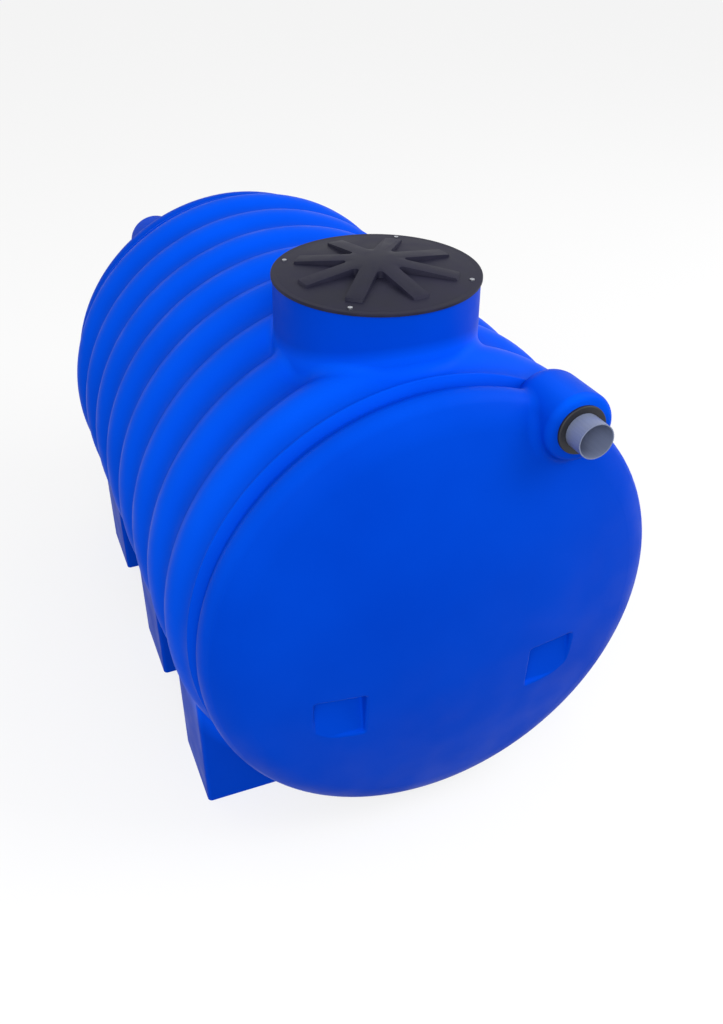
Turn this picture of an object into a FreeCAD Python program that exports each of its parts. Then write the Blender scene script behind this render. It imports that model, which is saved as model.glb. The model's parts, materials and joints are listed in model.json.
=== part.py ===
import FreeCAD
import Part
import os
from math import asin, cos, hypot, radians, sin, sqrt, tan

V = FreeCAD.Vector

# Driving sizes, in millimetres and degrees.
# The barrel lies along Y, front end towards -Y, resting on Z = 0.
wall = 9.0
clearance = 0.3
overshoot = 1.0
ground_gap = 6.0

# Ribbed barrel
ring_count = 8
ring_pitch = 222.5
crest_radius = 784.0
rib_depth = 42.0

# Rim and bulged face of each end
ridge_height = 8.0
ridge_width = 12.0
ridge_crown = 5.0
groove_depth = 22.0
groove_run = 14.0
shoulder_drop = 2.0
shoulder_run = 78.0
knuckle_radius = 60.0
knuckle_turn = 50.0
flank_radius = 180.0
flank_turn = 76.0

# Recesses low on the face, clear of its middle part
recess_width = 155.0
recess_height = 150.0
recess_offset = 350.0
recess_drop = 215.0
recess_top_depth = 38.0
recess_foot_depth = 4.0
recess_rounding = 8.0
recess_mouth_rounding = 10.0
recess_margin = 8.5

# Pipe bosses: how far inside the valley radius and how far from the crown
inlet_inset = 25.0
inlet_turn = 30.7
outlet_inset = 116.0
outlet_turn = 31.2
boss_radius = 108.0
boss_reach = 212.0
boss_rounding = 20.0
boss_back_rounding = 66.0
boss_blend = 26.0
boss_margin = 38.0

# Drain pipe and its rubber seal
pipe_radius = 55.0
pipe_wall = 3.2
pipe_stub = 60.0
pipe_tail = 102.0
pipe_groove_depth = 1.2
pipe_groove_width = 5.0
seal_grip = 9.0
seal_flange = 12.0
seal_lip = 8.0
seal_collar = 8.0
seal_rounding = 4.0
seal_lip_depth = 10.0

# Manhole neck and lid
neck_centre = 349.0
neck_radius = 314.0
neck_rise = 148.0
neck_ledge = 64.0
neck_lip = 12.0
neck_blend = 34.0
neck_margin = 12.0
lid_overhang = 5.0
lid_thickness = 9.0
lid_rounding = 3.0
star_arms = 8
star_turn = -84.0
star_arm_width = 54.0
star_margin = 63.0
star_hub_radius = 60.0
star_hub_height = 38.0
star_end_height = 12.0
star_end_rounding = 10.0
star_root_rounding = 12.0

# Feet
foot_inset = 96.0
foot_lean = 2.5
foot_inner = 300.0
foot_length = 280.0
foot_spacing = 638.0
foot_middle_shift = 30.0
foot_rounding = 14.0

# Sizes that follow from them
axis_height = crest_radius + ground_gap
valley_radius = crest_radius - rib_depth
ridge_radius = valley_radius + ridge_height
groove_radius = valley_radius - groove_depth
shoulder_radius = valley_radius - shoulder_drop
barrel_length = ring_count * ring_pitch
front_plane = -barrel_length / 2.0
panel_half = recess_offset - recess_width / 2.0 - wall - recess_margin
hub_y = front_plane + neck_centre
neck_top = crest_radius + neck_rise
neck_reach = neck_radius + neck_blend + neck_margin
skirt_radius = boss_radius + boss_blend + boss_margin
foot_reach = crest_radius - foot_inset
lid_radius = neck_radius + lid_overhang
star_reach = lid_radius - star_margin
spigot_radius = pipe_radius + seal_grip
collar_radius = spigot_radius + seal_flange
seal_face = boss_reach + clearance + seal_collar
pipe_mouth = seal_face + clearance + pipe_stub
AXIS = V(0, 1, 0)
UP = V(0, 0, 1)
ORIGIN = V(0, 0, 0)


def at(y, radius):
    return V(0, y, radius)


def line(first, last):
    return Part.LineSegment(first, last).toShape()


def arc(first, middle, last):
    return Part.Arc(first, middle, last).toShape()


def swell(y0, r0, y1, r1, inset=0.0):
    """Two equal tangent arcs, level at both ends, moved in by inset."""
    run = (y1 - y0) / 2.0
    rise = (r1 - r0) / 2.0
    bend = (run * run + rise * rise) / (2.0 * abs(rise))
    sense = 1.0 if rise > 0 else -1.0
    ahead = 1.0 if run > 0 else -1.0
    turn = asin(abs(run) / bend)
    first = bend + sense * inset
    last = bend - sense * inset

    def start(angle):
        return at(y0 + ahead * first * sin(angle),
                  r0 + sense * (bend - first * cos(angle)))

    def finish(angle):
        return at(y1 - ahead * last * sin(angle),
                  r1 - sense * (bend - last * cos(angle)))

    return [arc(start(0), start(turn / 2), start(turn)),
            arc(start(turn), finish(turn / 2), finish(0))]


def ring_edges(index, inset):
    y0 = front_plane + index * ring_pitch
    middle = y0 + ring_pitch / 2.0
    return (swell(y0, valley_radius, middle, crest_radius, inset)
            + swell(middle, crest_radius, y0 + ring_pitch, valley_radius, inset))


def spin(edges):
    """Solid of revolution about the barrel axis, lifted to its height."""
    face = Part.Face(Part.Wire(Part.__sortEdges__(edges)))
    solid = face.revolve(ORIGIN, AXIS, 360)
    solid.translate(V(0, 0, axis_height))
    return solid


def barrel_ring(index):
    outer = ring_edges(index, 0.0)
    inner = ring_edges(index, wall)
    y0 = front_plane + index * ring_pitch
    y1 = y0 + ring_pitch
    sides = [line(at(y0, valley_radius - wall), at(y0, valley_radius)),
             line(at(y1, valley_radius - wall), at(y1, valley_radius))]
    return spin(outer + inner + sides)


def barrel_body(first, last, inset):
    """Solid inside the ribbed skin, from ring first to ring last."""
    edges = []
    for index in range(first, last + 1):
        edges += ring_edges(index, inset)
    y0 = front_plane + first * ring_pitch
    y1 = front_plane + (last + 1) * ring_pitch
    radius = valley_radius - inset
    edges += [line(at(y0, 0), at(y0, radius)),
              line(at(y1, 0), at(y1, radius)),
              line(at(y0, 0), at(y1, 0))]
    return spin(edges)


def ring_at(y):
    """Index of the ring that holds a place along the barrel."""
    return int((y - front_plane) // ring_pitch)


class Bend:
    """Arc of the end's outline, from its first to its last turn."""

    def __init__(self, y, radius, bend, first, last):
        self.y = y
        self.radius = radius
        self.bend = bend
        self.first = first
        self.last = last

    def point(self, angle, inset):
        reach = self.bend - inset
        return at(self.y - reach * sin(angle), self.radius + reach * cos(angle))

    def edge(self, inset):
        middle = (self.first + self.last) / 2.0
        return arc(self.point(self.first, inset), self.point(middle, inset),
                   self.point(self.last, inset))


def end_bends():
    """Knuckle, flank and face, each tangent to the one before."""
    turn1 = radians(knuckle_turn)
    turn2 = radians(flank_turn)
    knuckle = Bend(front_plane - shoulder_run, shoulder_radius - knuckle_radius,
                   knuckle_radius, 0.0, turn1)
    step = flank_radius - knuckle_radius
    flank = Bend(knuckle.y + step * sin(turn1), knuckle.radius - step * cos(turn1),
                 flank_radius, turn1, turn2)
    reach = flank.radius / cos(turn2)
    face = Bend(flank.y + reach * sin(turn2), 0.0, flank_radius + reach,
                turn2, radians(90))
    return knuckle, flank, face


def rim_edges(inset):
    """Outline from the barrel's edge over ridge, groove and shoulder to the face."""
    base = front_plane
    ridge_y = base - ridge_width
    groove_y = ridge_y - groove_run
    knuckle, flank, face = end_bends()
    if inset:
        edges = [line(at(base, valley_radius - inset), at(groove_y, groove_radius - inset))]
    else:
        foot = ridge_radius - ridge_crown
        edges = [arc(at(base, foot), at(base - ridge_width / 2.0, ridge_radius),
                     at(ridge_y, foot)),
                 line(at(ridge_y, foot), at(groove_y, groove_radius))]
    edges += swell(groove_y, groove_radius, base - shoulder_run, shoulder_radius, inset)
    return edges + [knuckle.edge(inset), flank.edge(inset)]


def end_body(inset):
    """Solid inside the skin of the whole front end, moved in by inset."""
    face = end_bends()[2]
    edges = rim_edges(inset) + [face.edge(inset)]
    start = edges[0].Vertexes[0].Point
    tip = face.point(face.last, inset)
    edges += [line(tip, at(front_plane, 0)), line(at(front_plane, 0), start)]
    return spin(edges)


def end_rim():
    outer = rim_edges(0.0)
    inner = rim_edges(wall)
    face = end_bends()[2]
    base = line(inner[0].Vertexes[0].Point, outer[0].Vertexes[0].Point)
    lip = line(face.point(face.first, 0.0), face.point(face.first, wall))
    return spin(outer + inner + [base, lip])


def face_sector(inset):
    """Cone of the ball that the face is part of, from its centre to the skin."""
    face = end_bends()[2]
    centre = at(face.y, 0)
    depth = face.bend + overshoot
    base = at(face.y - depth, 0)
    corner = at(base.y, depth / tan(face.first))
    cone = spin([line(centre, base), line(base, corner), line(corner, centre)])
    return cone.common(Part.makeSphere(face.bend - inset, at(face.y, axis_height)))


def face_y(x, z):
    """Y of the bulged face at a place measured from the barrel axis."""
    face = end_bends()[2]
    return face.y - sqrt(face.bend ** 2 - x * x - z * z)


def recess(side, grow):
    """Wedge hollow low on the face, deep at its top edge."""
    top = -recess_drop + recess_height / 2.0
    foot = -recess_drop - recess_height / 2.0
    y_top = face_y(recess_offset, top) + recess_top_depth + grow
    y_foot = face_y(recess_offset, foot) + recess_foot_depth + grow
    y_out = face_y(0, 0) - wall
    z0 = axis_height
    x0 = side * recess_offset - recess_width / 2.0 - grow
    points = [V(x0, y_out, z0 + top + grow), V(x0, y_top, z0 + top + grow),
              V(x0, y_foot, z0 + foot - grow), V(x0, y_out, z0 + foot - grow)]
    wedge = Part.Face(Part.makePolygon(points + points[:1]))
    wedge = wedge.extrude(V(recess_width + 2.0 * grow, 0, 0))
    if grow:
        return wedge
    hidden = [edge for edge in wedge.Edges if edge.CenterOfMass.y > y_out + overshoot]
    return wedge.makeFillet(recess_rounding, hidden)


def on_mouth(edge):
    """True for the edges where a recess meets the bulged face."""
    face = end_bends()[2]
    middle = edge.valueAt((edge.FirstParameter + edge.LastParameter) / 2.0)
    depth = face.bend - middle.distanceToPoint(at(face.y, axis_height))
    rim = face.bend * cos(face.first)
    return depth < clearance and hypot(middle.x, middle.z - axis_height) < rim - overshoot


def end_face():
    skin = face_sector(0.0)
    inside = face_sector(wall)
    for side in (-1, 1):
        skin = skin.cut(recess(side, 0.0))
        inside = inside.cut(recess(side, wall))
    mouths = [edge for edge in skin.Edges if on_mouth(edge)]
    return skin.makeFillet(recess_mouth_rounding, mouths).cut(inside)


def middle_panel():
    """Upright slab that holds the middle part of the face, between the recesses."""
    depth = ridge_radius + boss_reach
    foot = V(-panel_half, front_plane - depth, 0)
    return Part.makeBox(2.0 * panel_half, depth, axis_height + ridge_radius, foot)


def side_panel(face, side):
    """Part of the face beyond the middle panel, on one side."""
    parts = face.cut(middle_panel()).Solids
    return [part for part in parts if part.CenterOfMass.x * side > 0][0]


def boss_place(inset, turn):
    """Sideways and upward place of a boss, measured from the barrel axis."""
    radius = valley_radius - inset
    return radius * sin(radians(turn)), radius * cos(radians(turn))


def rod(place, radius, start, reach):
    """Cylinder on the pipe axis, start and reach measured forward."""
    offset, rise = place
    foot = V(offset, front_plane - start, axis_height + rise)
    return Part.makeCylinder(radius, reach, foot, -AXIS)


def circles(cylinder):
    """The two end circles of a cylinder, front one first."""
    rings = [edge for edge in cylinder.Edges if edge.isClosed()]
    return sorted(rings, key=lambda edge: edge.CenterOfMass.y)


def boss_block(place, inset):
    """Round boss with a small rounding in front and a large one behind."""
    block = rod(place, boss_radius - inset, inset, boss_reach - 2.0 * inset)
    front, back = circles(block)
    block = block.makeFillet(boss_rounding - inset, [front])
    return block.makeFillet(boss_back_rounding - inset, [circles(block)[-1]])


def on_boss(edge, place):
    """True for the edges where a boss meets the bulged end."""
    tip = front_plane - boss_reach + boss_rounding + overshoot
    shoulder = front_plane - shoulder_run + overshoot
    for vertex in edge.Vertexes:
        spot = vertex.Point
        away = sqrt((spot.x - place[0]) ** 2 + (spot.z - axis_height - place[1]) ** 2)
        if abs(away - boss_radius) > clearance or not tip < spot.y < shoulder:
            return False
    return not isinstance(edge.Curve, Part.Line)


def pipe_boss(place):
    """Boss that flares into a skirt of the end's skin round its foot."""
    joined = end_body(0.0).fuse(boss_block(place, 0.0))
    seam = [edge for edge in joined.Edges if on_boss(edge, place)]
    boss = joined.makeFillet(boss_blend, seam)
    boss = boss.common(boss_skirt(place))
    boss = boss.cut(end_body(wall)).cut(boss_block(place, wall))
    return boss.cut(rod(place, spigot_radius + clearance, 0.0, boss_reach + overshoot))


def boss_skirt(place):
    """Cylinder that parts a boss and its skirt from the rest of the end."""
    return rod(place, skirt_radius, 0.0, boss_reach)


def groove_floor():
    return pipe_radius - pipe_groove_depth


def groove_cover():
    """Length of the seal's edge that sits in the groove of the pipe."""
    return pipe_groove_width - 2.0 * clearance


def pipe_seal(place):
    """Rubber ring: collar outside, spigot in the hole, lip inside."""
    inner = boss_reach - wall - clearance
    lip = rod(place, spigot_radius + seal_lip, inner - seal_lip_depth, seal_lip_depth)
    collar = rod(place, collar_radius, boss_reach + clearance, seal_collar)
    collar = collar.makeFillet(seal_rounding, circles(collar)[:1])
    spigot = rod(place, spigot_radius, inner - seal_lip_depth,
                 seal_face - inner + seal_lip_depth - seal_rounding)
    ring = collar.fuse([lip, spigot]).removeSplitter()
    ring = ring.cut(rod(place, pipe_radius + clearance, 0.0, seal_face - groove_cover()))
    return ring.cut(rod(place, groove_floor() + clearance, 0.0, seal_face + overshoot))


def drain_pipe(place):
    """Open pipe with a shallow groove that holds the seal's edge."""
    start = boss_reach - pipe_tail
    length = pipe_mouth - start
    tube = rod(place, pipe_radius, start, length)
    collar = rod(place, pipe_radius + overshoot,
                 seal_face + clearance - pipe_groove_width, pipe_groove_width)
    tube = tube.cut(collar.cut(rod(place, groove_floor(), start, length)))
    return tube.cut(rod(place, pipe_radius - pipe_wall, start - overshoot,
                        length + 2.0 * overshoot))


def upright(radius, z0, z1):
    foot = V(0, hub_y, axis_height + z0)
    return Part.makeCylinder(radius, z1 - z0, foot, UP)


def neck_rings():
    """First and last ring that the neck's skirt is let into."""
    return max(ring_at(hub_y - neck_reach), 0), ring_at(hub_y + neck_reach)


def on_neck(edge):
    """True for the edges where the neck meets the ribs."""
    for vertex in edge.Vertexes:
        spot = vertex.Point
        if abs(sqrt(spot.x ** 2 + (spot.y - hub_y) ** 2) - neck_radius) > clearance:
            return False
    box = edge.BoundBox
    return box.ZMax < axis_height + neck_top - overshoot and box.ZMin > axis_height


def manhole_neck():
    """Neck that flares into a skirt of the ribbed skin round its foot."""
    first, last = neck_rings()
    joined = barrel_body(first, last, 0.0).fuse(upright(neck_radius, 0.0, neck_top))
    seam = [edge for edge in joined.Edges if on_neck(edge)]
    neck = joined.makeFillet(neck_blend, seam)
    neck = neck.common(upright(neck_reach, 0.0, neck_top))
    neck = neck.cut(upright(neck_radius - wall, 0.0, neck_top - neck_lip))
    neck = neck.cut(upright(neck_radius - neck_ledge, 0.0, neck_top + overshoot))
    return neck.cut(barrel_body(first, last, wall))


def upright_edges(shape, reach):
    """Upright edges no further than reach from the middle of the star."""
    return [edge for edge in shape.Edges
            if edge.BoundBox.ZLength > star_hub_height
            and hypot(edge.CenterOfMass.x, edge.CenterOfMass.y) < reach]


def star_bar(turn):
    bar = Part.makeBox(2.0 * star_reach, star_arm_width, star_hub_height + lid_thickness)
    bar.translate(V(-star_reach, -star_arm_width / 2.0, -lid_rounding))
    bar = bar.makeFillet(star_end_rounding, upright_edges(bar, 2.0 * star_reach))
    bar.rotate(ORIGIN, UP, turn)
    return bar


def lid_star():
    """Eight flat arms whose top falls from the hub to their round ends."""
    bars = [star_bar(star_turn + 360.0 / star_arms * k) for k in range(star_arms // 2)]
    arms = bars[0].fuse(bars[1:]).removeSplitter()
    arms = arms.makeFillet(star_root_rounding, upright_edges(arms, star_reach / 2.0))
    outline = [V(0, 0, -lid_rounding), V(0, 0, star_hub_height),
               V(star_hub_radius, 0, star_hub_height),
               V(star_reach - star_end_height / 2.0, 0, star_end_height),
               V(star_reach, 0, -lid_rounding)]
    face = Part.Face(Part.makePolygon(outline + outline[:1]))
    return arms.common(face.revolve(ORIGIN, UP, 360))


def manhole_lid():
    disc = Part.makeCylinder(lid_radius, lid_thickness, V(0, 0, -lid_thickness), UP)
    rim = [edge for edge in disc.Edges
           if edge.isClosed() and edge.CenterOfMass.z > -lid_rounding]
    disc = disc.makeFillet(lid_rounding, rim)
    lid = disc.fuse(lid_star()).removeSplitter()
    lid.translate(V(0, hub_y, axis_height + neck_top + lid_thickness))
    return lid


def foot_block(inset):
    """Block with a leaning outer side and two rounded corners, moved in by inset."""
    lean = axis_height * sin(radians(foot_lean))
    outer = inset - foot_reach
    inner = -foot_inner - inset
    points = [V(outer, 0, inset), V(outer - lean, 0, axis_height),
              V(inner, 0, axis_height), V(inner, 0, inset)]
    face = Part.Face(Part.makePolygon(points + points[:1]))
    block = face.extrude(V(0, foot_length - 2.0 * inset, 0))
    corners = [edge for edge in block.Edges if on_outer_corner(edge)]
    block = block.makeFillet(foot_rounding - inset, corners)
    block.translate(V(0, inset - foot_length / 2.0, 0))
    return block


def on_outer_corner(edge):
    """True for the two upright corners of a foot's outer side."""
    box = edge.BoundBox
    return box.ZLength > axis_height / 2.0 and box.XMax < -(foot_inner + foot_reach) / 2.0


def foot(place):
    """Hollow foot under the left side, centred at a place along the barrel."""
    shell = foot_block(0.0).cut(foot_block(wall))
    shell.translate(V(0, place, 0))
    first = ring_at(place - foot_length / 2.0)
    last = ring_at(place + foot_length / 2.0)
    return shell.cut(barrel_body(first, last, -clearance))


def turned(shape):
    copy = shape.copy()
    copy.rotate(ORIGIN, UP, 180)
    return copy


def mirrored(shape):
    return shape.mirror(ORIGIN, V(1, 0, 0))


def save(name, shape):
    shape = shape.Solids[0] if len(shape.Solids) == 1 else shape
    shape.exportStep("parts/" + name + ".step")
    box = shape.BoundBox
    print("%-22s solids %d valid %s volume %.0f z %.1f..%.1f"
          % (name, len(shape.Solids), shape.isValid(), shape.Volume / 1000.0,
             box.ZMin, box.ZMax))


def save_end(end, place, turn, sides):
    """Rim, face panels, boss, seal and pipe of one end."""
    skirt = boss_skirt(place)
    face = end_face().cut(skirt)
    shapes = {"rim": end_rim().cut(skirt), "middle_face": face.common(middle_panel()),
              sides[0] + "_face": side_panel(face, -1), sides[1] + "_face": side_panel(face, 1),
              "pipe_boss": pipe_boss(place), "pipe_seal": pipe_seal(place),
              "pipe": drain_pipe(place)}
    for name, shape in shapes.items():
        save(end + "_" + name, turn(shape))


def main():
    os.makedirs("parts", exist_ok=True)
    first, last = neck_rings()
    neck_plug = upright(neck_reach, 0.0, neck_top)
    for index in range(ring_count):
        ring = barrel_ring(index)
        if first <= index <= last:
            ring = ring.cut(neck_plug)
        save("barrel_ring_%d" % (index + 1), ring)
    inlet = boss_place(inlet_inset, inlet_turn)
    outlet = boss_place(outlet_inset, outlet_turn)
    save_end("front", inlet, lambda shape: shape, ("left", "right"))
    save_end("rear", outlet, turned, ("right", "left"))
    save("manhole_neck", manhole_neck())
    save("manhole_lid", manhole_lid())
    places = {"front": -foot_spacing, "middle": -foot_middle_shift, "rear": foot_spacing}
    for name, place in places.items():
        left = foot(place)
        save(name + "_left_foot", left)
        save(name + "_right_foot", mirrored(left))


main()
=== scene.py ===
import json
import math

import bpy
from mathutils import Matrix, Vector

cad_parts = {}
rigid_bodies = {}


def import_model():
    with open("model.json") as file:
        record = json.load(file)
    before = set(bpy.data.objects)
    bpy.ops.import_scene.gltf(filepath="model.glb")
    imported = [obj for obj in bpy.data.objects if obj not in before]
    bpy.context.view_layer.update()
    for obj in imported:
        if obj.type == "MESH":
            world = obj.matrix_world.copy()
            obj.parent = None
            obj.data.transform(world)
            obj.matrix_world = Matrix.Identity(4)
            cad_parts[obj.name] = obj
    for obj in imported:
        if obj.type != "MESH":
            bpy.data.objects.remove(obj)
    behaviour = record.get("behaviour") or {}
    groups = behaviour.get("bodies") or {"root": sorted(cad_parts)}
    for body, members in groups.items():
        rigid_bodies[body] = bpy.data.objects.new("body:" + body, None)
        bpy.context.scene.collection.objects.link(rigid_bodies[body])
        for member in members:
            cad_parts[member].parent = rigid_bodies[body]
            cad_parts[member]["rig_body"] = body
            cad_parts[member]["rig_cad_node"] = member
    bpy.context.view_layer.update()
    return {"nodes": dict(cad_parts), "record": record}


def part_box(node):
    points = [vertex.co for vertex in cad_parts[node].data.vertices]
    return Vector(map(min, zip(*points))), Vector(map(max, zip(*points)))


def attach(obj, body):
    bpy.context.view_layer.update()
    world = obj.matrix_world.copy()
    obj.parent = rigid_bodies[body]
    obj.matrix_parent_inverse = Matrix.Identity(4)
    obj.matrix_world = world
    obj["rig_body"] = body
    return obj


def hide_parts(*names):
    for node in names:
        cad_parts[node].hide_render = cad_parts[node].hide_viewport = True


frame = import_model()
nodes = frame["nodes"]
print("frame loaded:", len(nodes), "nodes")

camera = {
    "place": (-1.2214, -3.0746, 2.8940),
    "turn": (66.041, 2.538, -17.298),  # degrees, XYZ order
    "lens": 34.745,
    "shift": (0.1357, -0.2089),
    "sees": 200.0,
}


def makeCamera():
    data = bpy.data.cameras.new("photoCamera")
    data.lens = camera["lens"]
    data.shift_x, data.shift_y = camera["shift"]
    data.clip_end = camera["sees"]
    cam = bpy.data.objects.new("photoCamera", data)
    cam.location = camera["place"]
    cam.rotation_euler = [math.radians(angle) for angle in camera["turn"]]
    bpy.context.scene.collection.objects.link(cam)
    bpy.context.scene.camera = cam


makeCamera()
print("camera set")


def toLinear(hexColour):
    channels = [int(hexColour[i:i + 2], 16) / 255.0 for i in (1, 3, 5)]
    linear = [c / 12.92 if c <= 0.04045 else ((c + 0.055) / 1.055) ** 2.4 for c in channels]
    return (*linear, 1.0)


def addNode(tree, kind, settings=None, links=None):  # a whole number names a socket by its place
    node = tree.nodes.new(kind)
    for name, value in (settings or {}).items():
        if isinstance(name, int) or name in node.inputs.keys():
            node.inputs[name].default_value = value
        else:
            setattr(node, name, value)
    for name, source in (links or {}).items():
        tree.links.new(source, node.inputs[name])
    return node


def newMaterial(name):
    material = bpy.data.materials.new(name)
    material.use_nodes = True
    material.node_tree.nodes.clear()
    return material, material.node_tree


def objectPlace(tree):
    return addNode(tree, "ShaderNodeTexCoord").outputs["Object"]


def perMetre(sizeMm):  # noise scale for a pattern of that size
    return 1000.0 / sizeMm


# rotationally moulded polyethylene, pigmented through: satin, softly wavy, faint orange peel,
# painted shade in a deeper blue down between the ribs and painted light in a paler one on their
# crests
tankPlastic = {
    # deep carries the valleys' painted shade and the darker mottle, pale the crests' painted light
    # and the lighter mottle
    "deep": "#0040c6",
    "pale": "#0256ee",
    "sheen": "#4f8dff",  # the skin is a little translucent, so its gloss keeps some blue
    "roughness": (0.40, 0.52),
    "specular": 0.045,
    "axisHeight": 0.790,
    "valleyReach": 0.712,  # from the barrel's axis to the bottom of a valley
    "crestReach": 0.784,
    "crestLightEnds": (0.800, 0.840),  # neck and feet stand further out, so the painted crest light fades off there
    "crestShare": 0.8,  # how much of the colour change is painted shade and light following the ribs, the rest is mottle
    "mottleMm": 420.0,
    "mottleSpan": (0.3, 0.7),  # part of the noise that carries the change from deep to pale
    "hazeMm": 120.0,
    "hazeSpan": (0.35, 0.65),
    "waveMm": 170.0,
    "waveDepthMm": 0.5,
    "peelMm": 9.0,  # real orange peel is about 3 mm apart, drawn coarser so that it shows
    "peelDepthMm": 0.06,
}


def makeTankPlastic():
    s = tankPlastic
    material, tree = newMaterial("rotomouldedPolyethylene")
    place = objectPlace(tree)
    mottle = addNode(tree, "ShaderNodeTexNoise", {"Scale": perMetre(s["mottleMm"]), "Detail": 3.0},
                     {"Vector": place})
    share = addNode(tree, "ShaderNodeMapRange",
                    {"From Min": s["mottleSpan"][0], "From Max": s["mottleSpan"][1]},
                    {"Value": mottle.outputs["Fac"]})
    across = addNode(tree, "ShaderNodeVectorMath",
                     {"operation": "MULTIPLY_ADD", 1: (1.0, 0.0, 1.0),
                      2: (0.0, 0.0, -s["axisHeight"])}, {0: place})
    reach = addNode(tree, "ShaderNodeVectorMath", {"operation": "LENGTH"},
                    {0: across.outputs["Vector"]})
    # painted light and shade: paler towards the crests, deeper towards the valleys, by distance
    # from the barrel's axis
    ribShadeByReach = addNode(tree, "ShaderNodeMapRange",
                   {"From Min": s["valleyReach"], "From Max": s["crestReach"]},
                   {"Value": reach.outputs["Value"]})
    crestLightFade = addNode(tree, "ShaderNodeMapRange",
                   {"From Min": s["crestLightEnds"][0], "From Max": s["crestLightEnds"][1],
                    "To Min": 1.0, "To Max": 0.0}, {"Value": reach.outputs["Value"]})
    paintedRibShade = addNode(tree, "ShaderNodeMath", {"operation": "MINIMUM"},
                   {0: ribShadeByReach.outputs["Result"], 1: crestLightFade.outputs["Result"]})
    pattern = addNode(tree, "ShaderNodeMix", {"data_type": "FLOAT", 0: s["crestShare"]},
                      {2: share.outputs["Result"], 3: paintedRibShade.outputs["Value"]})
    colour = addNode(tree, "ShaderNodeMix",
                     {"data_type": "RGBA", 6: toLinear(s["deep"]), 7: toLinear(s["pale"])},
                     {0: pattern.outputs[0]})
    haze = addNode(tree, "ShaderNodeTexNoise", {"Scale": perMetre(s["hazeMm"]), "Detail": 4.0},
                   {"Vector": place})
    rough = addNode(tree, "ShaderNodeMapRange",
                    {"From Min": s["hazeSpan"][0], "From Max": s["hazeSpan"][1],
                     "To Min": s["roughness"][0], "To Max": s["roughness"][1]},
                    {"Value": haze.outputs["Fac"]})
    wave = addNode(tree, "ShaderNodeTexNoise", {"Scale": perMetre(s["waveMm"]), "Detail": 1.0},
                   {"Vector": place})
    slow = addNode(tree, "ShaderNodeBump", {"Distance": s["waveDepthMm"] / 1000.0},
                   {"Height": wave.outputs["Fac"]})
    peel = addNode(tree, "ShaderNodeTexNoise", {"Scale": perMetre(s["peelMm"]), "Detail": 2.0},
                   {"Vector": place})
    fine = addNode(tree, "ShaderNodeBump", {"Distance": s["peelDepthMm"] / 1000.0},
                   {"Height": peel.outputs["Fac"], "Normal": slow.outputs["Normal"]})
    shader = addNode(tree, "ShaderNodeBsdfPrincipled",
                     {"Specular IOR Level": s["specular"], "Specular Tint": toLinear(s["sheen"])},
                     {"Base Color": colour.outputs[2], "Roughness": rough.outputs["Result"],
                      "Normal": fine.outputs["Normal"]})
    addNode(tree, "ShaderNodeOutputMaterial", None, {"Surface": shader.outputs["BSDF"]})
    return material


# injection moulded polypropylene, charcoal: dull, fine spark grain, a little dust in patches
lidPlastic = {
    "colour": "#1b1b2b",
    "dust": "#272637",
    "roughness": (0.48, 0.62),
    "specular": 0.13,
    "dustMm": 90.0,
    "dustSpan": (0.35, 0.7),
    "grainMm": 6.0,  # real spark grain is under 1 mm, drawn coarser so that it shows
    "grainDepthMm": 0.05,
}


def makeLidPlastic():
    s = lidPlastic
    material, tree = newMaterial("mouldedPolypropylene")
    place = objectPlace(tree)
    patches = addNode(tree, "ShaderNodeTexNoise", {"Scale": perMetre(s["dustMm"]), "Detail": 6.0},
                      {"Vector": place})
    share = addNode(tree, "ShaderNodeMapRange",
                    {"From Min": s["dustSpan"][0], "From Max": s["dustSpan"][1]},
                    {"Value": patches.outputs["Fac"]})
    colour = addNode(tree, "ShaderNodeMix",
                     {"data_type": "RGBA", 6: toLinear(s["colour"]), 7: toLinear(s["dust"])},
                     {0: share.outputs["Result"]})
    rough = addNode(tree, "ShaderNodeMapRange",
                    {"To Min": s["roughness"][0], "To Max": s["roughness"][1]},
                    {"Value": share.outputs["Result"]})
    grain = addNode(tree, "ShaderNodeTexNoise", {"Scale": perMetre(s["grainMm"]), "Detail": 3.0},
                    {"Vector": place})
    bump = addNode(tree, "ShaderNodeBump", {"Distance": s["grainDepthMm"] / 1000.0},
                   {"Height": grain.outputs["Fac"]})
    shader = addNode(tree, "ShaderNodeBsdfPrincipled", {"Specular IOR Level": s["specular"]},
                     {"Base Color": colour.outputs[2], "Roughness": rough.outputs["Result"],
                      "Normal": bump.outputs["Normal"]})
    addNode(tree, "ShaderNodeOutputMaterial", None, {"Surface": shader.outputs["BSDF"]})
    return material


# moulded EPDM rubber: near black and dull, with a dry bloom
sealRubber = {
    "colour": "#06070f",
    "bloom": "#12131d",
    "roughness": 0.6,
    "bloomMm": 30.0,
    "skinMm": 4.0,
    "skinDepthMm": 0.08,
}


def makeSealRubber():
    s = sealRubber
    material, tree = newMaterial("mouldedEpdmRubber")
    place = objectPlace(tree)
    bloom = addNode(tree, "ShaderNodeTexNoise", {"Scale": perMetre(s["bloomMm"]), "Detail": 5.0},
                    {"Vector": place})
    colour = addNode(tree, "ShaderNodeMix",
                     {"data_type": "RGBA", 6: toLinear(s["colour"]), 7: toLinear(s["bloom"])},
                     {0: bloom.outputs["Fac"]})
    skin = addNode(tree, "ShaderNodeTexNoise", {"Scale": perMetre(s["skinMm"]), "Detail": 2.0},
                   {"Vector": place})
    bump = addNode(tree, "ShaderNodeBump", {"Distance": s["skinDepthMm"] / 1000.0},
                   {"Height": skin.outputs["Fac"]})
    shader = addNode(tree, "ShaderNodeBsdfPrincipled", {"Roughness": s["roughness"]},
                     {"Base Color": colour.outputs[2], "Normal": bump.outputs["Normal"]})
    addNode(tree, "ShaderNodeOutputMaterial", None, {"Surface": shader.outputs["BSDF"]})
    return material


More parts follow.
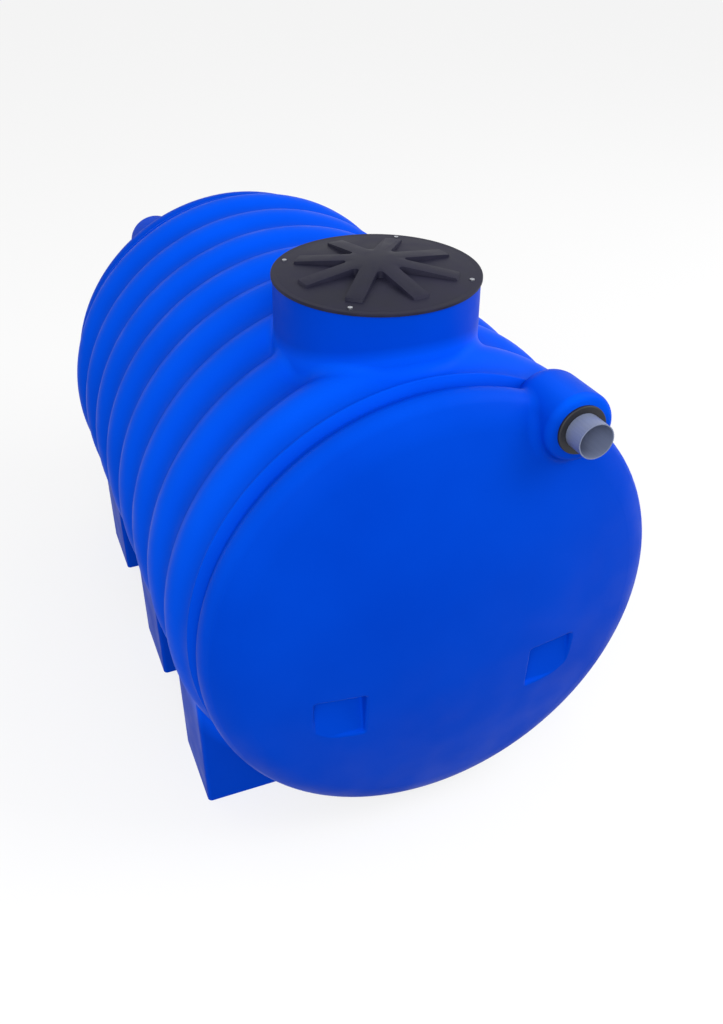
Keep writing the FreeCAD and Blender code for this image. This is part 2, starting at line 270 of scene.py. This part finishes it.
# extruded rigid PVC, drain grey: half gloss, fine draw lines along the pipe
drainPvc = {
    "colour": "#7c86a2",
    "line": "#6d7794",
    "roughness": 0.36,
    "lineMm": 5.0,
    "lineStretch": 0.02,  # the lines run along Y, so the pattern hardly changes that way
    "lineDepthMm": 0.03,
}


def makeDrainPvc():
    s = drainPvc
    material, tree = newMaterial("extrudedPvc")
    place = objectPlace(tree)
    drawn = addNode(tree, "ShaderNodeMapping", {"Scale": (1.0, s["lineStretch"], 1.0)},
                    {"Vector": place})
    lines = addNode(tree, "ShaderNodeTexNoise", {"Scale": perMetre(s["lineMm"]), "Detail": 3.0},
                    {"Vector": drawn.outputs["Vector"]})
    colour = addNode(tree, "ShaderNodeMix",
                     {"data_type": "RGBA", 6: toLinear(s["line"]), 7: toLinear(s["colour"])},
                     {0: lines.outputs["Fac"]})
    bump = addNode(tree, "ShaderNodeBump", {"Distance": s["lineDepthMm"] / 1000.0},
                   {"Height": lines.outputs["Fac"]})
    shader = addNode(tree, "ShaderNodeBsdfPrincipled", {"Roughness": s["roughness"]},
                     {"Base Color": colour.outputs[2], "Normal": bump.outputs["Normal"]})
    addNode(tree, "ShaderNodeOutputMaterial", None, {"Surface": shader.outputs["BSDF"]})
    return material


# zinc plated steel: pale, with slightly blotchy plating
screwZinc = {
    "colour": "#d2d5da",
    "stain": "#a3a6ad",
    "roughness": 0.34,
    "stainMm": 6.0,
}


def makeScrewZinc():
    s = screwZinc
    material, tree = newMaterial("zincPlatedSteel")
    place = objectPlace(tree)
    stain = addNode(tree, "ShaderNodeTexNoise", {"Scale": perMetre(s["stainMm"]), "Detail": 4.0},
                    {"Vector": place})
    colour = addNode(tree, "ShaderNodeMix",
                     {"data_type": "RGBA", 6: toLinear(s["stain"]), 7: toLinear(s["colour"])},
                     {0: stain.outputs["Fac"]})
    shader = addNode(tree, "ShaderNodeBsdfPrincipled",
                     {"Metallic": 1.0, "Roughness": s["roughness"]},
                     {"Base Color": colour.outputs[2]})
    addNode(tree, "ShaderNodeOutputMaterial", None, {"Surface": shader.outputs["BSDF"]})
    return material


finishes = {
    "tank_plastic": makeTankPlastic(),
    "lid_plastic": makeLidPlastic(),
    "seal_rubber": makeSealRubber(),
    "pipe_plastic": makeDrainPvc(),
}
for part in frame["record"]["subparts"]:
    node = nodes[part["node"]]
    node.data.materials.clear()
    node.data.materials.append(finishes[part["material_slot"]])
print("materials assigned")


def deselectAll():
    bpy.ops.object.select_all(action="DESELECT")


def selectFaces(piece, wanted):  # in edit mode: selects the faces that wanted accepts
    bpy.ops.mesh.select_all(action="DESELECT")
    bpy.ops.object.mode_set(mode="OBJECT")
    for face in piece.data.polygons:
        face.select = wanted(face)
    bpy.ops.object.mode_set(mode="EDIT")
    bpy.ops.mesh.select_mode(type="FACE")


def looksUp(face):  # within about 25 degrees
    return face.normal.z > 0.9


def finishPiece(piece, name):
    piece.name = name
    piece.data.name = name
    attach(piece, "root")


# lid: the moulding's sharp edges softened as they leave the mould
lid = {
    "edgeMm": 3.0,
    "sharpDegrees": 35.0,
    "steps": 3,
    "mergeWithin": 0.00005,
    "flatDegrees": 0.5,  # triangles that meet flatter than this become one face
    "plateAbove": 0.009,  # top of the plate above its underside
}


def makeLid():
    deselectAll()
    piece = nodes["manhole_lid"].copy()
    piece.data = nodes["manhole_lid"].data.copy()
    piece.parent = None
    bpy.context.scene.collection.objects.link(piece)
    piece.select_set(True)
    bpy.context.view_layer.objects.active = piece
    bpy.ops.mesh.customdata_custom_splitnormals_clear()
    bpy.ops.object.mode_set(mode="EDIT")
    bpy.ops.mesh.select_all(action="SELECT")
    bpy.ops.mesh.remove_doubles(threshold=lid["mergeWithin"])
    bpy.ops.mesh.dissolve_limited(angle_limit=math.radians(lid["flatDegrees"]))
    bpy.ops.object.mode_set(mode="OBJECT")
    bevel = piece.modifiers.new("softEdges", "BEVEL")
    bevel.width = lid["edgeMm"] / 1000.0
    bevel.segments = lid["steps"]
    bevel.angle_limit = math.radians(lid["sharpDegrees"])
    bpy.ops.object.modifier_apply(modifier=bevel.name)
    bpy.ops.object.shade_smooth_by_angle(angle=math.radians(lid["sharpDegrees"]))
    for key in ("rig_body", "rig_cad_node"):  # the copy is a piece of its own
        if key in piece:
            del piece[key]
    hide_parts("manhole_lid")
    finishPiece(piece, "softLid")


def plateCentre():  # middle of the plate's top face
    low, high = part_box("manhole_lid")
    return Vector(((low.x + high.x) / 2.0, (low.y + high.y) / 2.0, low.z + lid["plateAbove"]))


makeLid()
print("lid edges softened")

# lid screws: pan heads near the rim, between the arms' ends
screw = {
    "count": 4,
    "firstDegrees": 51.0,
    "rimShare": 0.91,
    "headRadius": 0.0070,
    "headHeight": 0.0045,
    "crownInset": 0.0025,
    "crownRise": 0.0012,
    "slotLength": 0.0085,
    "slotWidth": 0.0018,
    "slotDepth": 0.0024,
    "sides": 32,
    "smoothDegrees": 40.0,
}


def makeScrewHead():
    deselectAll()
    height = screw["headHeight"]
    bpy.ops.mesh.primitive_cylinder_add(vertices=screw["sides"], radius=screw["headRadius"],
                                        depth=height, location=(0, 0, height / 2.0))
    head = bpy.context.object
    bpy.ops.object.transform_apply(location=True)
    bpy.ops.object.mode_set(mode="EDIT")
    selectFaces(head, looksUp)
    bpy.ops.mesh.inset(thickness=screw["crownInset"])
    bpy.ops.transform.translate(value=(0, 0, screw["crownRise"]))
    bpy.ops.object.mode_set(mode="OBJECT")
    top = height + screw["crownRise"]
    for turn in (0.0, math.pi / 2.0):
        deselectAll()
        bpy.ops.mesh.primitive_cube_add(size=1.0, location=(0, 0, top), rotation=(0, 0, turn),
                                        scale=(screw["slotLength"], screw["slotWidth"],
                                               2.0 * screw["slotDepth"]))
        cutter = bpy.context.object
        deselectAll()
        head.select_set(True)
        bpy.context.view_layer.objects.active = head
        slot = head.modifiers.new("slot", "BOOLEAN")
        slot.operation = "DIFFERENCE"
        slot.object = cutter
        bpy.ops.object.modifier_apply(modifier=slot.name)
        bpy.data.objects.remove(cutter)
    bpy.ops.object.shade_smooth_by_angle(angle=math.radians(screw["smoothDegrees"]))
    return head


def makeScrews():
    low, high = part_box("manhole_lid")
    middle = plateCentre()
    reach = (high.x - low.x) / 2.0 * screw["rimShare"]
    pattern = makeScrewHead()
    finish = makeScrewZinc()
    for index in range(screw["count"]):
        angle = math.radians(screw["firstDegrees"]) + math.tau / screw["count"] * index
        spot = middle + Vector((reach * math.cos(angle), reach * math.sin(angle), 0.0))
        head = pattern.copy()
        head.data = pattern.data.copy()
        head.data.transform(Matrix.Translation(spot) @ Matrix.Rotation(angle, 4, "Z"))
        head.data.materials.clear()
        head.data.materials.append(finish)
        bpy.context.scene.collection.objects.link(head)
        finishPiece(head, "lidScrew%d" % (index + 1))
    bpy.data.objects.remove(pattern)


makeScrews()
print("screws set")

# crown: the plate between the arms rises a little towards the hub
crown = {
    "radius": 0.300,
    "height": 0.013,
    "rings": 14,
    "sides": 128,
    "base": 0.002,  # thickness of the disc it starts from
    "sunk": 0.0008,  # how far that disc's middle lies below the plate's top
    "smoothDegrees": 20.0,
}


def makeCrown():
    deselectAll()
    spot = plateCentre() - Vector((0.0, 0.0, crown["sunk"]))
    bpy.ops.mesh.primitive_cylinder_add(vertices=crown["sides"], radius=crown["radius"],
                                        depth=crown["base"], location=spot)
    dome = bpy.context.object
    bpy.ops.object.transform_apply(location=True)
    bpy.ops.object.mode_set(mode="EDIT")
    selectFaces(dome, looksUp)
    step = 1.0 / (crown["rings"] + 1)
    for ring in range(crown["rings"]):  # steepest at the rim, level at the hub
        rise = crown["height"] * ((1.0 - ring * step) ** 2 - (1.0 - (ring + 1) * step) ** 2)
        bpy.ops.mesh.inset(thickness=crown["radius"] * step)
        bpy.ops.transform.translate(value=(0, 0, rise))
    bpy.ops.object.mode_set(mode="OBJECT")
    bpy.ops.object.shade_smooth_by_angle(angle=math.radians(crown["smoothDegrees"]))
    dome.data.materials.append(finishes["lid_plastic"])
    finishPiece(dome, "lidCrown")


makeCrown()
print("crown made")

# gate mark: the low round pad that the filling point leaves on the hub
gateMark = {
    "radius": 0.026,
    "height": 0.0012,
    "rim": 0.004,
    "dish": 0.0008,
    "sides": 64,
    "smoothDegrees": 30.0,
}


def makeGateMark():
    deselectAll()
    low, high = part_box("manhole_lid")
    spot = plateCentre()
    spot.z = high.z - gateMark["height"]
    bpy.ops.mesh.primitive_cylinder_add(vertices=gateMark["sides"], radius=gateMark["radius"],
                                        depth=gateMark["height"], location=spot)
    pad = bpy.context.object
    bpy.ops.object.transform_apply(location=True)
    bpy.ops.object.mode_set(mode="EDIT")
    selectFaces(pad, looksUp)
    bpy.ops.mesh.inset(thickness=gateMark["rim"])
    bpy.ops.transform.translate(value=(0, 0, -gateMark["dish"]))
    bpy.ops.object.mode_set(mode="OBJECT")
    bpy.ops.object.shade_smooth_by_angle(angle=math.radians(gateMark["smoothDegrees"]))
    pad.data.materials.append(finishes["lid_plastic"])
    finishPiece(pad, "gateMark")


makeGateMark()
print("gate mark made")

studio = {
    "floorSize": 60.0,
    "floorSeen": "#ffffff",
    "floorGlow": 0.75,  # share of plain white in the floor as seen, the rest takes the shadow
    "floorLit": "#6e6e6e",  # what the floor throws back on the object
    "roomStrength": 0.60,
    "lampSize": 5.0,
    "lampDistance": 8.0,
    "lampAim": (0.0, 0.0, 0.8),
    "keyFrom": (0.75, -0.35, 0.6),  # seen from the tank: right, a little in front and above
    "keyPower": 330.0,
    "fillFrom": (-0.45, -0.85, 0.5),  # front left
    "fillPower": 360.0,
}


def seenDirectly(tree):  # 1 for what the camera, gloss or glass sees, 0 for light on the object
    path = addNode(tree, "ShaderNodeLightPath").outputs
    shiny = addNode(tree, "ShaderNodeMath", {"operation": "MAXIMUM"},
                    {0: path["Is Glossy Ray"], 1: path["Is Transmission Ray"]})
    return addNode(tree, "ShaderNodeMath", {"operation": "MAXIMUM"},
                   {0: path["Is Camera Ray"], 1: shiny.outputs[0]}).outputs[0]


def makeFloor():
    deselectAll()
    bpy.ops.mesh.primitive_plane_add(size=studio["floorSize"], location=(0, 0, 0))
    floor = bpy.context.object
    floor.name = "floor"
    material, tree = newMaterial("palePaint")
    lit = addNode(tree, "ShaderNodeBsdfDiffuse", {"Color": toLinear(studio["floorLit"])})
    pale = addNode(tree, "ShaderNodeBsdfDiffuse", {"Color": toLinear(studio["floorSeen"])})
    glow = addNode(tree, "ShaderNodeEmission", {"Color": toLinear(studio["floorSeen"])})
    shown = addNode(tree, "ShaderNodeMixShader", {0: studio["floorGlow"]},
                    {1: pale.outputs[0], 2: glow.outputs[0]})
    mix = addNode(tree, "ShaderNodeMixShader", None,
                  {0: seenDirectly(tree), 1: lit.outputs[0], 2: shown.outputs[0]})
    addNode(tree, "ShaderNodeOutputMaterial", None, {"Surface": mix.outputs[0]})
    floor.data.materials.append(material)


def makeRoom():
    world = bpy.data.worlds.new("softRoom")
    world.use_nodes = True
    world.node_tree.nodes.clear()
    strength = addNode(world.node_tree, "ShaderNodeMapRange",
                       {"To Min": studio["roomStrength"], "To Max": 1.0},
                       {"Value": seenDirectly(world.node_tree)})
    room = addNode(world.node_tree, "ShaderNodeBackground", {"Color": (1, 1, 1, 1)},
                   {"Strength": strength.outputs["Result"]})
    addNode(world.node_tree, "ShaderNodeOutputWorld", None, {"Surface": room.outputs[0]})
    bpy.context.scene.world = world


def makeLamp(name, source, power):
    data = bpy.data.lights.new(name, "AREA")
    data.energy = power
    data.size = studio["lampSize"]
    lamp = bpy.data.objects.new(name, data)
    aim = Vector(studio["lampAim"])
    lamp.location = aim + Vector(source).normalized() * studio["lampDistance"]
    lamp.rotation_euler = (aim - lamp.location).to_track_quat("-Z", "Y").to_euler()
    lamp.visible_camera = False
    bpy.context.scene.collection.objects.link(lamp)


makeFloor()
makeRoom()
makeLamp("softKey", studio["keyFrom"], studio["keyPower"])
makeLamp("softFill", studio["fillFrom"], studio["fillPower"])
bpy.context.scene.view_settings.view_transform = "Standard"
print("studio lit")
